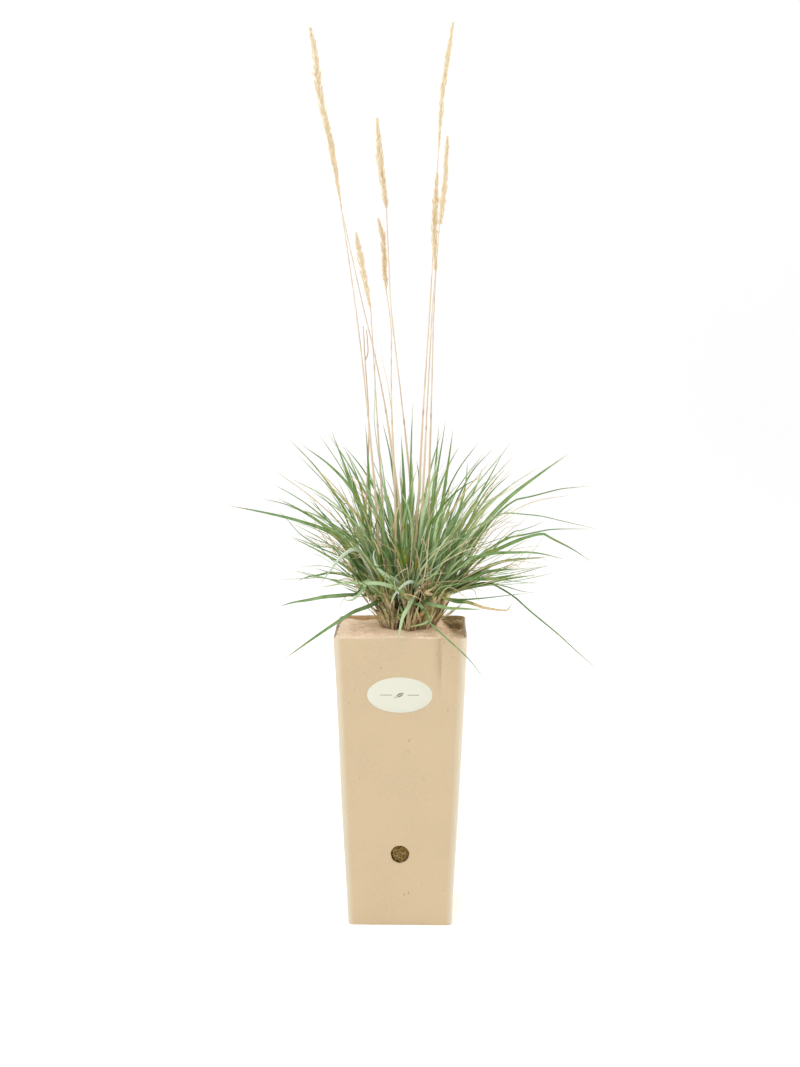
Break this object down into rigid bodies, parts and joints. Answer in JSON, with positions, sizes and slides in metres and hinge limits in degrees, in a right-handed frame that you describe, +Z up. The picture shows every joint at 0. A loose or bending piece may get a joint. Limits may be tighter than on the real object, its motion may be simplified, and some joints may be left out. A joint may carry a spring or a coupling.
{
  "type": "potted ornamental grass",
  "caption": "Clump of blue hair grass with tall straw seed heads, in a tall tapered square pot of kraft board with a plain oval label.",
  "frame": {"origin": "middle of the pot's underside", "axes": "+Z up along the plant, -Y towards the wall with the label, +X to the right as the label is faced"},
  "size_m": [0.294, 0.2232, 0.708],
  "materials": {
    "kraft_board": "matte",
    "label_paper": "matte",
    "coir": "matte",
    "dry_sheath": "matte",
    "leaf_green": "satin",
    "straw_stem": "satin",
    "seed_head": "matte"
  },
  "bodies": {
    "root": {"coir_root_ball": "coir", "dry_stem": "straw_stem", "flower_stem_1": "straw_stem", "flower_stem_2": "straw_stem", "flower_stem_3": "straw_stem", "flower_stem_4": "straw_stem", "flower_stem_5": "straw_stem", "flower_stem_6": "straw_stem", "flower_stem_7": "straw_stem", "flower_stem_8": "straw_stem", "label": "label_paper", "pot": "kraft_board", "seed_head_1": "seed_head", "seed_head_2": "seed_head", "seed_head_3": "seed_head", "seed_head_4": "seed_head", "seed_head_5": "seed_head", "seed_head_6": "seed_head", "seed_head_7": "seed_head", "seed_head_8": "seed_head", "sheath_bundle_back": "dry_sheath", "sheath_bundle_back_left": "dry_sheath", "sheath_bundle_back_right": "dry_sheath", "sheath_bundle_front": "dry_sheath", "sheath_bundle_front_left": "dry_sheath", "sheath_bundle_front_right": "dry_sheath", "sheath_bundle_heart": "dry_sheath", "sheath_bundle_left": "dry_sheath", "sheath_bundle_right": "dry_sheath", "shoot_01": "leaf_green", "shoot_02": "leaf_green", "shoot_03": "leaf_green", "shoot_04": "leaf_green", "shoot_05": "leaf_green", "shoot_06": "leaf_green", "shoot_07": "leaf_green", "shoot_08": "leaf_green", "shoot_09": "leaf_green", "shoot_10": "leaf_green", "shoot_11": "leaf_green", "shoot_12": "leaf_green", "shoot_13": "leaf_green", "shoot_14": "leaf_green", "shoot_15": "leaf_green", "shoot_16": "leaf_green", "shoot_17": "leaf_green", "shoot_18": "leaf_green", "shoot_19": "leaf_green", "shoot_20": "leaf_green", "shoot_21": "leaf_green", "shoot_22": "leaf_green", "shoot_23": "leaf_green", "shoot_24": "leaf_green", "shoot_25": "leaf_green", "shoot_26": "leaf_green", "shoot_27": "leaf_green", "shoot_28": "leaf_green", "shoot_29": "leaf_green"}
  },
  "joints": []
}
